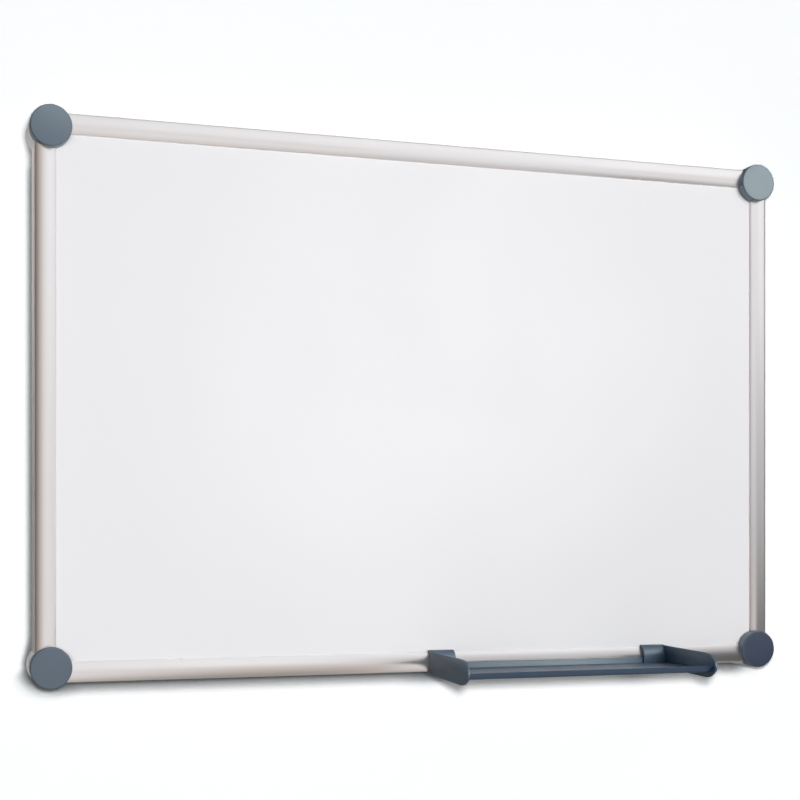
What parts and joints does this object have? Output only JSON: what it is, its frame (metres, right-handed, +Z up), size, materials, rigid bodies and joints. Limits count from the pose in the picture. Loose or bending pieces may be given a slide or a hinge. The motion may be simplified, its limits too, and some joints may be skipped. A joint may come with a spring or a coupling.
{
  "type": "whiteboard",
  "caption": "Wall-mounted whiteboard with crowned light metal rails, round slate corner caps and a dark pen tray that slides along the bottom rail.",
  "frame": {"origin": "centre of the rectangle of four wall screw holes, on the wall plane at the back of the corner bases", "axes": "+X along the board's width to the right as seen from the front, +Z up, and the front faces -Y"},
  "size_m": [0.891, 0.1592, 0.611],
  "materials": {
    "white_enamel": "gloss",
    "core_board": "matte",
    "back_steel": "satin",
    "rail_metal": "satin",
    "light_plastic": "satin",
    "cap_plastic": "satin",
    "screw_steel": "satin",
    "tray_plastic": "satin",
    "pad_rubber": "matte"
  },
  "bodies": {
    "board": {"writing_sheet": "white_enamel", "panel_core": "core_board", "back_sheet": "back_steel", "rail_top": "rail_metal", "rail_bottom": "rail_metal", "rail_left": "rail_metal", "rail_right": "rail_metal", "corner_base_top_left": "light_plastic", "corner_base_top_right": "light_plastic", "corner_base_bottom_left": "light_plastic", "corner_base_bottom_right": "light_plastic", "screw_washers": "screw_steel", "frame_screws": "screw_steel"},
    "pen_tray": {"tray_trough": "tray_plastic", "tray_bracket_left": "tray_plastic", "tray_bracket_right": "tray_plastic", "bracket_pad_left": "pad_rubber", "bracket_pad_right": "pad_rubber"},
    "cap_top_left": {"corner_cap_top_left": "cap_plastic"},
    "cap_top_right": {"corner_cap_top_right": "cap_plastic"},
    "cap_bottom_left": {"corner_cap_bottom_left": "cap_plastic"},
    "cap_bottom_right": {"corner_cap_bottom_right": "cap_plastic"}
  },
  "joints": [
    {"name": "tray_slide", "type": "slide", "parent": "board", "child": "pen_tray", "axis": [1, 0, 0], "range_m": [-0.4, 0.1]},
    {"name": "cap_top_left_pull", "type": "slide", "parent": "board", "child": "cap_top_left", "axis": [0, -1, 0], "range_m": [0, 0.025]},
    {"name": "cap_top_right_pull", "type": "slide", "parent": "board", "child": "cap_top_right", "axis": [0, -1, 0], "range_m": [0, 0.025]},
    {"name": "cap_bottom_left_pull", "type": "slide", "parent": "board", "child": "cap_bottom_left", "axis": [0, -1, 0], "range_m": [0, 0.025]},
    {"name": "cap_bottom_right_pull", "type": "slide", "parent": "board", "child": "cap_bottom_right", "axis": [0, -1, 0], "range_m": [0, 0.025]}
  ]
}
